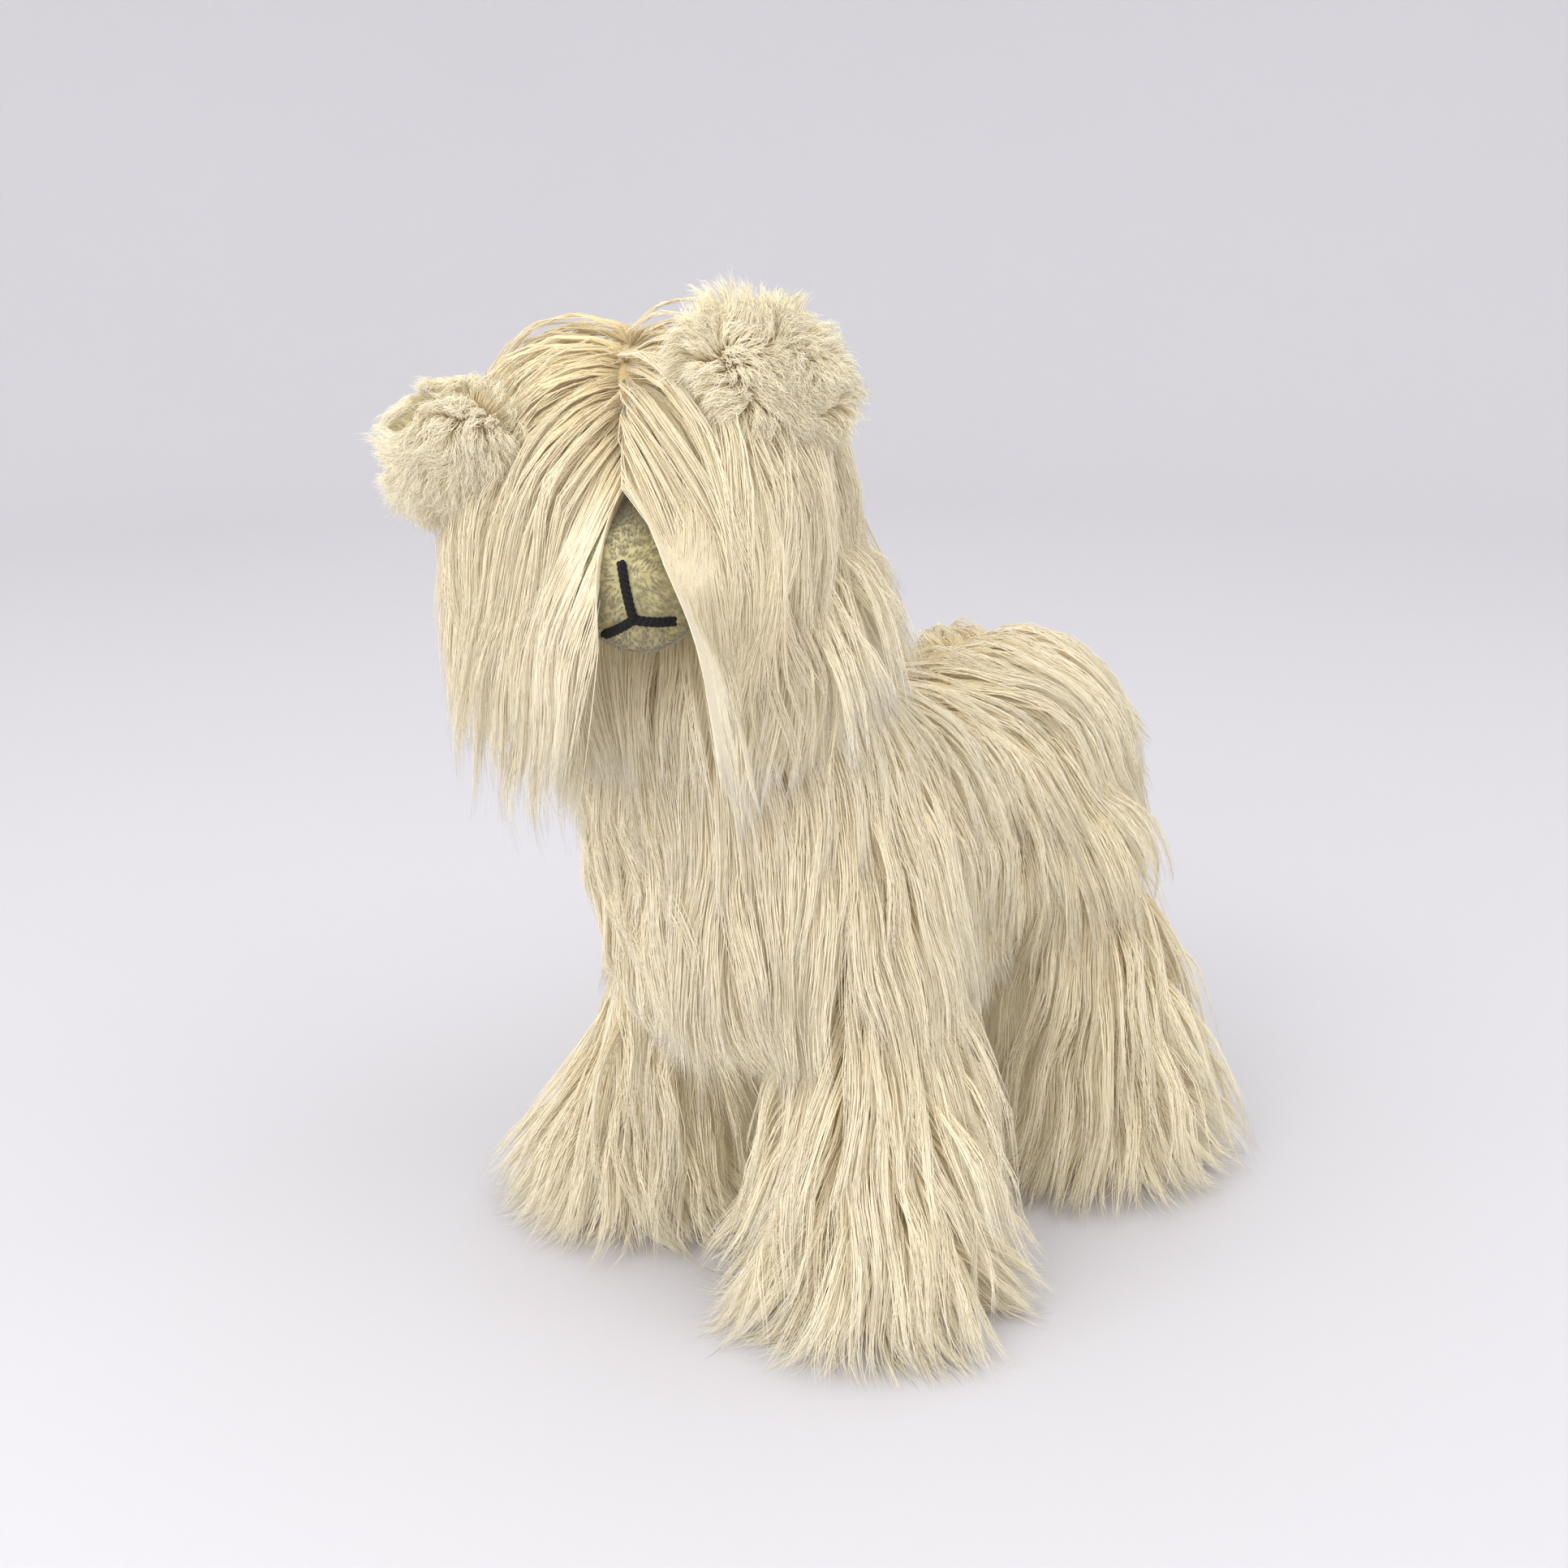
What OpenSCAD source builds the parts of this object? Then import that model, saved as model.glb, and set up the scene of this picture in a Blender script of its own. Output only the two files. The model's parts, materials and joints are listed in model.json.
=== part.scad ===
// Standing long-haired plush dog with a swivelling head.
// Frame: +Z up, the dog faces -Y and its left side is +X. The floor is z = 0.
// Each plush panel is drawn as its backing cloth together with the space that its pile fills.

/* [Stance] */
// Height of the hip and shoulder seams above the floor
hip_z = 86; // [80:1:92]
// Distance between the left and right feet, centre to centre
foot_gap_x = 82; // [78:1:90]
// Distance between the front and rear feet, centre to centre
foot_gap_y = 105; // [100:1:115]
// Distance from the middle of the feet back to the origin
stance_y = 8.4; // [5:0.1:12]

/* [Torso] */
// Outer radius of the barrel of the body, pile included
barrel_r = 45; // [43:1:47]
// Length of the barrel between the centres of its round ends
barrel_len = 92; // [86:1:96]
// Height of the barrel's axis
barrel_z = 110; // [108:1:112]
// Outer radius of the chest, pile included
chest_r = 51; // [49:1:53]
// Half the width of the gusset that runs under the belly
gusset_half = 13; // [11:1:14]

/* [Neck] */
// Angle that the neck leans forward from upright
neck_lean = 21; // [15:1:25]
// Height of the joint between neck and head
neck_z = 180; // [178:1:184]
// Outer radius of the neck, pile included
neck_r = 36; // [34:1:37]
// Length of the straight part of the neck
neck_straight = 33; // [32:1:34]
// Radius of the two fibreboard joint discs
disc_r = 20; // [16:1:22]
// Radius of the cotter pin's shank
pin_r = 1.5; // [1.2:0.1:2]

/* [Head] */
// Angle that the head is turned to its left from straight ahead
head_turn = 37; // [0:1:45]
// Distance from the neck joint up to the middle of the head
head_up = 30; // [28:1:32]
// Outer radius of the head, pile included
head_r = 43; // [42:0.5:44]
// Radius of the muzzle at its tip
muzzle_r = 13.5; // [12:0.5:15]
// Diameter of the dome of each eye
eye_d = 9; // [7:0.5:10]
// Length that the fringe hangs below the neck joint
fringe_drop = 30; // [20:1:31]

/* [Ears] */
// Radius of the rounded ear flap
ear_r = 15; // [14:0.5:16]
// Angle of the ears' seams in front of the head's sides
ear_front = 36; // [30:1:40]
// Angle of the ears' seams above the middle of the head
ear_up = 18; // [15:1:22]
// Angle that the seams slope down towards the back
ear_pitch = 37; // [30:1:42]
// Angle that the left ear is raised from pointing straight out
ear_left_raised = 55; // [45:1:58]
// Angle that the right ear is raised from pointing straight out
ear_right_raised = 18; // [10:1:30]

/* [Legs] */
// Outer radius of the leg, pile included
leg_r = 25; // [23:1:26]
// Outer radius of the hair that spreads round each foot
foot_r = 39; // [36:1:41]
// Height at which the leg hair starts to spread
flare_z = 52; // [45:1:58]
// Radius of the sole pad
sole_r = 16; // [14:1:18]

/* [Tail] */
// Length of the tail from its seam
tail_len = 46; // [40:1:50]
// Outer radius of the tail, pile included
tail_r = 11; // [9:1:12]

/* [Pile] */
// Thickness that the pile takes up on the torso and head
coat = 12; // [10:1:13]
// Thickness of the backing cloth, also of the short-napped muzzle cloth
cloth = 1.2; // [1:0.1:1.6]

/* [Hidden] */

$fn = 64;
FAR = 400;          // size of a cutting block, larger than the toy
GAP = 0.4;          // clearance between soft parts that move past each other
RUN = 0.08;         // running clearance of the cotter pin in the head's disc

LEFT = 1;
RIGHT = -1;
FRONT = -1;
REAR = 1;

barrel_y = stance_y - 40;                // centre of the barrel's front end
neck_y = stance_y - 72;                  // the neck joint, over the front feet
chest_rise = 44;                         // from the chest's widest point up to the straight neck
shoulder_a = 42;                         // where the neck's flare meets the round chest
hip_r = leg_r + 2;                       // the ball of the leg's top
leg_coat = 11;                           // pile thickness on the legs
tail_hinge = [0, barrel_y + barrel_len + barrel_r + 3, barrel_z + 10];
tail_hang = 22;                          // angle of the hanging tail from upright
tail_coat = 6;
tail_root_r = tail_r + 1;
muzzle_droop = 12;                       // the muzzle points this far below level
muzzle_tip = [0, -42, -16];              // centre of the muzzle's round tip, from the head's centre
muzzle_back = 30;                        // length of the muzzle behind that centre
eye_at = [17.5, -27.5, 3];               // right-hand mirror gives the other eye
eye_turn = 32;                           // each eye looks this far out from straight ahead
ear_seat = head_r - 0.5;                 // distance of the ear's seam from the head's centre
ear_root_r = 6;                          // the ear's rolled seam
ear_pocket_r = 8;                        // pocket in the head's pile that the seam rolls in
ear_reach = 7;                           // from the ear's seam to the centre of its round flap
ear_back_t = 5;
ear_lining_t = 3;
ear_seam = 1;                            // the seam between back and lining, below the flap's middle
disc_t = 2.5;
washer_r = 7;
washer_t = 1;
washer_top = GAP / 2 + cloth + disc_t + washer_t;    // from the joint to each washer's outer face
pin_eye_r = 2.6;                         // eye at the top of the cotter pin
curl_r = 2.2;                            // its two ends, rolled back
pin_end_room = 8;                        // pocket in the stuffing beyond each washer
eye_shank_r = 1.6;
eye_shank_len = 8;
eye_lock_r = 5.5;
eye_lock_t = 1.2;
eye_lock_at = -5;                        // how far the lock sits behind the eye's dome
sole_t = 2.5;
leg_room_depth = 50;                     // how far down the torso is cut away round each leg
tail_room_depth = 60;
tail_room_spread = 22;                   // so that the tail can wag
stitch_w = 2;
stitch_low = 8;                          // from the muzzle's point down to where the three lines meet
mouth_turn = 115;                        // direction of each mouth line, from straight up
nose_sweep = 50;                         // length of the nose line, as an angle round the muzzle
mouth_start = 6;
mouth_sweep = 36;
ivory = [0.87, 0.82, 0.69];
straw = [0.80, 0.73, 0.54];
fibre = [0.94, 0.93, 0.90];

function leg_x(side) = side * foot_gap_x / 2;
function leg_y(end) = stance_y + end * foot_gap_y / 2;

// ---- frames ----

// Origin at the neck joint, with Z along the neck.
module neck_frame() {
    translate([0, neck_y, neck_z]) rotate([neck_lean, 0, 0]) children();
}

// Origin at the middle of the head, level with the head and turned with it.
module head_frame() {
    neck_frame() rotate([0, 0, head_turn]) translate([0, 0, head_up]) rotate([-neck_lean, 0, 0]) children();
}

// Everything above (side 1) or below (side -1) the plane of the neck joint, leaving a gap.
module neck_side(side, gap) {
    neck_frame() translate([-FAR / 2, -FAR / 2, side > 0 ? gap : -FAR - gap]) cube(FAR);
}

module half_space_x(x, side) {
    translate([side > 0 ? x : x - FAR, -FAR / 2, -FAR / 2]) cube(FAR);
}

// ---- torso ----

// Turns an outline about Z: all round for side 0, or only its left or right half.
module turned(side = 0) {
    rotate([0, 0, side == 0 ? 25 : side * -90]) rotate_extrude(angle = side == 0 ? 360 : 180) intersection() {
        children();
        translate([0, -FAR / 2]) square([FAR / 2, FAR]);
    }
}

// The body's barrel has round ends. Its axis runs along Y.
module barrel(inset, side = 0) {
    r = barrel_r - inset;
    translate([0, barrel_y, barrel_z]) rotate([-90, 0, 0]) turned(side) {
        circle(r);
        translate([-r, 0]) square([2 * r, barrel_len]);
        translate([0, barrel_len]) circle(r);
    }
}

// Chest and neck, turned about the neck's axis and cut off level at the neck joint.
module chest(inset, top, side = 0) {
    low = neck_straight + chest_rise;
    r = neck_r - inset;
    shoulder = [(chest_r - inset) * cos(shoulder_a), -low + (chest_r - inset) * sin(shoulder_a)];
    neck_frame() turned(side) {
        translate([0, -low]) circle(chest_r - inset);
        polygon([
            [-r, top], [r, top], [r, -neck_straight],
            shoulder, [-shoulder[0], shoulder[1]], [-r, -neck_straight],
        ]);
    }
}

// Room that a swinging leg needs in the torso.
module leg_room(side, end) {
    translate([leg_x(side), leg_y(end), hip_z]) {
        sphere(hip_r + GAP);
        translate([0, 0, -leg_room_depth])
            cylinder(h = leg_room_depth, r1 = hip_r + 9, r2 = hip_r + 2 * GAP);
    }
}

module tail_room() {
    translate(tail_hinge) {
        sphere(tail_root_r + GAP);
        rotate([tail_hang, 0, 0]) translate([0, 0, -tail_room_depth])
            cylinder(h = tail_room_depth, r1 = tail_root_r + tail_room_spread, r2 = tail_root_r + 2 * GAP);
    }
}

module leg_rooms() {
    for (side = [LEFT, RIGHT], end = [FRONT, REAR]) leg_room(side, end);
}

module torso_outer(side = 0) {
    barrel(0, side);
    chest(0, -GAP / 2, side);
}

module torso_inner() {
    barrel(coat);
    chest(coat, -GAP / 2 - cloth);
}

// The zone of the gusset that closes the underside between the legs.
module gusset_zone() {
    translate([-gusset_half, -FAR / 2, barrel_z - 20 - FAR]) cube([2 * gusset_half, FAR, FAR]);
}

module side_panel(side) {
    color(ivory) difference() {
        torso_outer(side);
        barrel(coat);
        chest(coat, -GAP / 2 - cloth);
        gusset_zone();
        for (end = [FRONT, REAR]) leg_room(side, end);
        tail_room();
        neck_frame() translate([0, 0, -washer_top]) cylinder(h = 2 * washer_top, r = pin_r);
    }
}

module belly_gusset() {
    color(straw) difference() {
        intersection() {
            torso_outer();
            gusset_zone();
        }
        torso_inner();
        leg_rooms();
    }
}

module torso_stuffing() {
    color(fibre) difference() {
        torso_inner();
        leg_rooms();
        neck_frame() {
            translate([0, 0, -GAP / 2 - cloth - disc_t]) cylinder(h = disc_t + washer_top, r = disc_r);
            translate([0, 0, -washer_top - pin_end_room])
                cylinder(h = 2 * washer_top + pin_end_room, r = washer_r);
        }
    }
}

// ---- neck joint ----

module ring_plate(r, t, hole) {
    difference() {
        cylinder(h = t, r = r);
        translate([0, 0, -1]) cylinder(h = t + 2, r = hole);
    }
}

module neck_disc(side) {
    inner = side > 0 ? GAP / 2 + cloth : -GAP / 2 - cloth - disc_t;
    color("peru") neck_frame() translate([0, 0, inner])
        ring_plate(disc_r, disc_t, side > 0 ? pin_r + RUN : pin_r);
}

module neck_washer(side) {
    inner = side > 0 ? GAP / 2 + cloth + disc_t : -GAP / 2 - cloth - disc_t - washer_t;
    color("silver") neck_frame() translate([0, 0, inner])
        ring_plate(washer_r, washer_t, side > 0 ? pin_r + RUN : pin_r);
}

// The two ends of the cotter pin, rolled back against the washer.
module pin_curls() {
    for (side = [LEFT, RIGHT])
        translate([side * (curl_r + 0.2), 0, -washer_top - curl_r - pin_r])
            rotate([90, 0, 0]) translate([0, 0, -pin_r * 0.8])
                cylinder(h = pin_r * 1.6, r = curl_r + pin_r * 0.6);
}

module neck_cotter_pin() {
    color("silver") neck_frame() {
        translate([0, 0, -washer_top - curl_r - pin_r])
            cylinder(h = 2 * washer_top + curl_r + pin_r + 2, r = pin_r);
        translate([0, 0, washer_top + pin_eye_r + 0.1]) difference() {
            rotate([90, 0, 0]) translate([0, 0, -pin_r]) cylinder(h = 2 * pin_r, r = pin_eye_r);
            rotate([90, 0, 0]) translate([0, 0, -5]) cylinder(h = 10, r = 1);
        }
        pin_curls();
    }
}

// ---- head ----

module head_ball(inset, side = 0) {
    turned(side) circle(head_r - inset);
}

// Origin at the centre of the muzzle's round tip, with Z out of the tip and Y up.
module muzzle_frame() {
    translate(muzzle_tip) rotate([90 + muzzle_droop, 0, 0]) children();
}

module muzzle_solid(inset) {
    muzzle_frame() {
        sphere(muzzle_r - inset);
        translate([0, 0, -muzzle_back])
            cylinder(h = muzzle_back, r1 = muzzle_r + 4 - inset, r2 = muzzle_r - inset);
    }
}

module eye_frame(side) {
    translate([side * eye_at[0], eye_at[1], eye_at[2]])
        rotate([90, 0, 0]) rotate([0, side * eye_turn, 0]) children();
}

module eye_dome() {
    intersection() {
        sphere(d = eye_d);
        translate([-FAR / 2, -FAR / 2, 0]) cube(FAR);
    }
}

module eye_solid() {
    eye_dome();
    translate([0, 0, -eye_shank_len]) cylinder(h = eye_shank_len + 1, r = eye_shank_r);
}

// Origin on the ear's seam, which runs along Y. X points out along the flap, and the lining is below it.
module ear_frame(side) {
    raised = side > 0 ? ear_left_raised : ear_right_raised;
    mirror([side > 0 ? 0 : 1, 0, 0]) rotate([0, 0, -ear_front]) rotate([0, -ear_up, 0])
        translate([ear_seat, 0, 0]) rotate([-ear_pitch, 0, 0]) rotate([0, -raised, 0]) children();
}

module ear_room(side) {
    ear_frame(side) rotate([90, 0, 0]) translate([0, 0, -ear_r - GAP])
        cylinder(h = 2 * (ear_r + GAP), r = ear_pocket_r);
}

// One side of the head. The gathered cloth over the joint disc closes it below.
module head_panel(side) {
    color(ivory) difference() {
        intersection() {
            head_frame() head_ball(0, side);
            neck_side(1, GAP / 2);
        }
        intersection() {
            head_frame() head_ball(coat);
            neck_side(1, GAP / 2 + cloth);
        }
        head_frame() {
            muzzle_solid(0);
            eye_frame(side) eye_solid();
            ear_room(side);
        }
        neck_frame() {
            cylinder(h = washer_top, r = pin_r + RUN);
            translate([0, 0, GAP / 2 + cloth]) cylinder(h = disc_t, r = disc_r);
        }
    }
}

// The long hair of one side, hanging from the parting over the cheek and outside the neck.
module fringe(side) {
    inner_r = neck_r + 2.5;
    outer_r = head_r + 2.5;
    from_mid = 21;
    to_ear = 98;
    color(ivory) difference() {
        neck_frame() rotate([0, 0, head_turn])
            rotate([0, 0, side > 0 ? -90 + from_mid : -90 - to_ear])
                rotate_extrude(angle = to_ear - from_mid)
                    translate([inner_r, -fringe_drop]) square([outer_r - inner_r, fringe_drop + head_up - 14]);
        head_frame() {
            head_ball(0);
            muzzle_solid(0);
        }
    }
}

module head_stuffing() {
    color(fibre) difference() {
        intersection() {
            head_frame() head_ball(coat);
            neck_side(1, GAP / 2 + cloth);
        }
        head_frame() for (side = [LEFT, RIGHT]) {
            eye_frame(side) eye_solid();
            eye_frame(side) translate([0, 0, eye_lock_at]) cylinder(h = eye_lock_t, r = eye_lock_r);
            ear_room(side);
        }
        neck_frame() {
            translate([0, 0, -1]) cylinder(h = 1 + GAP / 2 + cloth + disc_t, r = disc_r);
            translate([0, 0, -1]) cylinder(h = 1 + washer_top + pin_end_room, r = washer_r);
        }
    }
}

module muzzle_cover() {
    color([0.66, 0.62, 0.47]) head_frame() difference() {
        muzzle_solid(0);
        muzzle_solid(cloth);
        head_ball(coat);
    }
}

module muzzle_stuffing() {
    color(fibre) head_frame() difference() {
        muzzle_solid(cloth);
        head_ball(coat);
    }
}

// One line of embroidery laid on the muzzle's round tip. It starts at the given angle from the point
// where the lines meet, and runs in the direction "turn", counted from straight up.
module stitch(turn, start, sweep) {
    color([0.08, 0.08, 0.08]) head_frame() muzzle_frame() difference() {
        rotate([stitch_low, 0, 0]) rotate([0, 0, turn]) rotate([0, -90, 0]) rotate([0, 0, start])
            rotate_extrude(angle = sweep) translate([muzzle_r, 0]) circle(d = stitch_w);
        sphere(muzzle_r);
    }
}

module nose_stitch() {
    stitch(0, 0, nose_sweep);
}

module mouth_stitch(side) {
    stitch(-side * mouth_turn, mouth_start, mouth_sweep);
}

module eye(side) {
    color([0.10, 0.07, 0.05]) head_frame() eye_frame(side) eye_solid();
}

module eye_lock(side) {
    color("white") head_frame() eye_frame(side) translate([0, 0, eye_lock_at])
        ring_plate(eye_lock_r, eye_lock_t, eye_shank_r);
}

// ---- ears ----

// Outline of the ear flap seen flat, with its seam along Y at x = 0.
module ear_outline() {
    translate([ear_reach, 0]) circle(ear_r);
    translate([0, -ear_r]) square([ear_reach, 2 * ear_r]);
}

module ear_flap(low, thickness) {
    intersection() {
        translate([0, 0, low]) linear_extrude(thickness) ear_outline();
        translate([0, -FAR / 2, -FAR / 2]) cube(FAR);
    }
}

module ear_back(side) {
    color(ivory) head_frame() ear_frame(side) {
        ear_flap(-ear_seam, ear_back_t);
        intersection() {
            rotate([90, 0, 0]) translate([0, 0, -ear_r]) cylinder(h = 2 * ear_r, r = ear_root_r);
            translate([-FAR / 2, -FAR / 2, -ear_seam]) cube(FAR);
        }
    }
}

module ear_lining(side) {
    color(straw) head_frame() ear_frame(side) ear_flap(-ear_seam - ear_lining_t, ear_lining_t);
}

// ---- legs ----

// A leg turned about its own upright axis: ball at the hip, straight shaft, and hair that spreads to the floor.
module leg_outer(side, end) {
    translate([leg_x(side), leg_y(end), 0]) {
        cylinder(h = flare_z, r1 = foot_r, r2 = leg_r);
        translate([0, 0, flare_z]) cylinder(h = hip_z - flare_z, r = leg_r);
        translate([0, 0, hip_z]) sphere(hip_r);
    }
}

module leg_core(side, end, bottom) {
    translate([leg_x(side), leg_y(end), 0]) {
        translate([0, 0, bottom]) cylinder(h = flare_z - bottom, r1 = sole_r, r2 = leg_r - leg_coat);
        translate([0, 0, flare_z]) cylinder(h = hip_z - flare_z, r = leg_r - leg_coat);
        translate([0, 0, hip_z]) sphere(hip_r - leg_coat);
    }
}

module leg_sole(side, end) {
    color(straw) translate([leg_x(side), leg_y(end), 0]) cylinder(h = sole_t, r = sole_r);
}

module leg_panel(side, end, facing) {
    color(ivory) difference() {
        leg_outer(side, end);
        leg_core(side, end, sole_t);
        translate([leg_x(side), leg_y(end), -1]) cylinder(h = sole_t + 1, r = sole_r);
        half_space_x(leg_x(side), -side * facing);
    }
}

module leg_stuffing(side, end) {
    color(fibre) leg_core(side, end, sole_t);
}

// ---- tail ----

module tail_solid(inset) {
    reach = tail_len - tail_r;
    translate(tail_hinge) {
        sphere(tail_root_r - inset);
        rotate([tail_hang, 0, 0]) translate([0, 0, -reach]) {
            cylinder(h = reach, r = tail_r - inset);
            sphere(tail_r - inset);
        }
    }
}

module tail_plush() {
    color(ivory) difference() {
        tail_solid(0);
        tail_solid(tail_coat);
    }
}

module tail_stuffing() {
    color(fibre) tail_solid(tail_coat);
}

// ---- nodes ----

side_panel(LEFT);  // side_panel_left
side_panel(RIGHT);  // side_panel_right
belly_gusset();
torso_stuffing();
neck_disc(-1);  // neck_disc_torso
neck_washer(-1);  // neck_washer_torso
neck_cotter_pin();
head_panel(LEFT);  // head_panel_left
head_panel(RIGHT);  // head_panel_right
fringe(LEFT);  // fringe_left
fringe(RIGHT);  // fringe_right
head_stuffing();
muzzle_cover();
muzzle_stuffing();
nose_stitch();
mouth_stitch(LEFT);  // mouth_stitch_left
mouth_stitch(RIGHT);  // mouth_stitch_right
eye(LEFT);  // eye_left
eye(RIGHT);  // eye_right
eye_lock(LEFT);  // eye_lock_left
eye_lock(RIGHT);  // eye_lock_right
neck_disc(1);  // neck_disc_head
neck_washer(1);  // neck_washer_head
ear_back(LEFT);  // ear_left_back
ear_lining(LEFT);  // ear_left_lining
ear_back(RIGHT);  // ear_right_back
ear_lining(RIGHT);  // ear_right_lining
leg_panel(LEFT, FRONT, 1);  // leg_front_left_outer
leg_panel(LEFT, FRONT, -1);  // leg_front_left_inner
leg_stuffing(LEFT, FRONT);  // leg_front_left_stuffing
leg_sole(LEFT, FRONT);  // leg_front_left_sole
leg_panel(RIGHT, FRONT, 1);  // leg_front_right_outer
leg_panel(RIGHT, FRONT, -1);  // leg_front_right_inner
leg_stuffing(RIGHT, FRONT);  // leg_front_right_stuffing
leg_sole(RIGHT, FRONT);  // leg_front_right_sole
leg_panel(LEFT, REAR, 1);  // leg_rear_left_outer
leg_panel(LEFT, REAR, -1);  // leg_rear_left_inner
leg_stuffing(LEFT, REAR);  // leg_rear_left_stuffing
leg_sole(LEFT, REAR);  // leg_rear_left_sole
leg_panel(RIGHT, REAR, 1);  // leg_rear_right_outer
leg_panel(RIGHT, REAR, -1);  // leg_rear_right_inner
leg_stuffing(RIGHT, REAR);  // leg_rear_right_stuffing
leg_sole(RIGHT, REAR);  // leg_rear_right_sole
tail_plush();
tail_stuffing();
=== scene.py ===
"""Looks of a standing long-haired plush dog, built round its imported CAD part. Lengths here are in millimetres
until a mesh is made, then in metres."""
import json
import math
import bpy
import numpy as np
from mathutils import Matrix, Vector
from mathutils.kdtree import KDTree


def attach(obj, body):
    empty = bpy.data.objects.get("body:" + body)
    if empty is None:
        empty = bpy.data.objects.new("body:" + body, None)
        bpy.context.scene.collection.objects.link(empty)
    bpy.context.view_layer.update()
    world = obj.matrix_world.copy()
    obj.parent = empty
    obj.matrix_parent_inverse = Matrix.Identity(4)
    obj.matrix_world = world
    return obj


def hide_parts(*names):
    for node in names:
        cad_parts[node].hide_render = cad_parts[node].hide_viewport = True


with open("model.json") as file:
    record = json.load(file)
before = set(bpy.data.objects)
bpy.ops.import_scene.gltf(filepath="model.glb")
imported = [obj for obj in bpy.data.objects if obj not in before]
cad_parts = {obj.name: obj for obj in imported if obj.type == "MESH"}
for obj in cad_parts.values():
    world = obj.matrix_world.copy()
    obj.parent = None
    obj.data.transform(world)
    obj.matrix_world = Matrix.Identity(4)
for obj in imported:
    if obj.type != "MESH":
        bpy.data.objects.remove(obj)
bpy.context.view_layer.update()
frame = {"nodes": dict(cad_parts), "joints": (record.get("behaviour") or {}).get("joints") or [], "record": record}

# ---- places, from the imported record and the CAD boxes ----

JOINTS = {j["name"]: j for j in frame["joints"]}
LEGS = ["leg_front_left", "leg_front_right", "leg_rear_left", "leg_rear_right"]


def unit(v):
    v = np.asarray(v, float)
    return v / np.maximum(np.linalg.norm(v, axis=-1, keepdims=True), 1e-9)


def place(joint):
    return np.array(JOINTS[joint]["pos_m"], float) * 1000


SIDES = {"left": 1, "right": -1}      # each side's sign along x
NECK = place("neck_swivel")
NECK_UP = unit(JOINTS["neck_swivel"]["axis"])
HIPS = {leg: place(leg + "_swing") for leg in LEGS}
STANCE = np.mean(list(HIPS.values()), axis=0)
TAIL = place("tail_wag")
EARS = {word: place("ear_%s_flop" % word) for word in SIDES}

HEAD_X = unit(EARS["left"] - EARS["right"])
_side = np.cross(NECK_UP, HEAD_X)
_lean = -NECK_UP[1]
HEAD_Y = NECK_UP[2] * _side - _lean * NECK_UP
HEAD_Z = _lean * _side + NECK_UP[2] * NECK_UP
HEAD_AXES = np.stack([HEAD_X, HEAD_Y, HEAD_Z], axis=1)
NECK_TO_HEAD = 30
HEAD = NECK + NECK_TO_HEAD * NECK_UP


def to_head(p):
    return (p - HEAD) @ HEAD_AXES


def from_head(q):
    return HEAD + np.asarray(q, float) @ HEAD_AXES.T


# the cores under the pile: balls and rods, where the backing cloth lies
BARREL_R = 33.0
CHEST_R = 39.0
NECK_R = 24.0
NECK_LOW, NECK_HIGH = 62, 4         # the neck's rod, measured down from the swivel
HEAD_R = 31.0
HIP_R = 13.0
FOOT_R = 15.5
FOOT_Z = 16.0
BARREL_A = np.array([0, STANCE[1] - 40, 110.0])
BARREL_B = BARREL_A + np.array([0, 92, 0])
CHEST = NECK - 77 * NECK_UP
MUZZLE_DROOP = 12
MUZZLE = from_head([0, -42, -16])
_droop = math.radians(MUZZLE_DROOP)
MUZZLE_DIR = unit(-math.cos(_droop) * HEAD_Y - math.sin(_droop) * HEAD_Z)
MUZZLE_R, MUZZLE_BACK_R, MUZZLE_LONG = 13.5, 17.0, 26
TAIL_DROOP = math.radians(22)
TAIL_DIR = unit([0, math.sin(TAIL_DROOP), -math.cos(TAIL_DROOP)])
TAIL_TIP = TAIL + 35 * TAIL_DIR
TAIL_R, TAIL_TIP_R = 7.0, 6.2
DOWN = np.array([0.0, 0.0, -1.0])

# ---- distance fields ----
# Each field gives the distance of points p from a surface, below 0 inside it.


def ball(p, c, r):
    return np.linalg.norm(p - c, axis=-1) - r


def rod(p, a, b, ra, rb=None):
    rb = ra if rb is None else rb
    ab = b - a
    t = np.clip((p - a) @ ab / (ab @ ab), 0, 1)
    return np.linalg.norm(p - a - t[..., None] * ab, axis=-1) - (ra + (rb - ra) * t)


def smin(a, b, k):
    """The union of two fields, blended over a band of about k."""
    h = np.clip(0.5 + 0.5 * (b - a) / k, 0, 1)
    return b * (1 - h) + a * h - k * h * (1 - h)


def torso_field(p):
    d = smin(rod(p, BARREL_A, BARREL_B, BARREL_R), ball(p, CHEST, CHEST_R), 10)
    return smin(d, rod(p, NECK - NECK_HIGH * NECK_UP, NECK - NECK_LOW * NECK_UP, NECK_R, CHEST_R - 3), 6)


def leg_top(leg):
    """The top of a leg's core, which leans in under the body."""
    inward = [0.74, 1, 1] if HIPS[leg][1] < 0 else [0.80, 1, 1]
    return HIPS[leg] * inward + [0, 12 if HIPS[leg][1] < 0 else -3, 0]


def leg_foot(leg):
    return np.array([HIPS[leg][0], HIPS[leg][1], FOOT_Z])


def leg_field(p, leg):
    return rod(p, leg_top(leg), leg_foot(leg), HIP_R, FOOT_R)


def legs_field(p):
    d = leg_field(p, LEGS[0])
    for leg in LEGS[1:]:
        d = np.minimum(d, leg_field(p, leg))
    return d


def muzzle_field(p):
    return rod(p, MUZZLE, MUZZLE - MUZZLE_LONG * MUZZLE_DIR, MUZZLE_R, MUZZLE_BACK_R)


def head_field(p):
    return ball(p, HEAD, HEAD_R)


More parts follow.
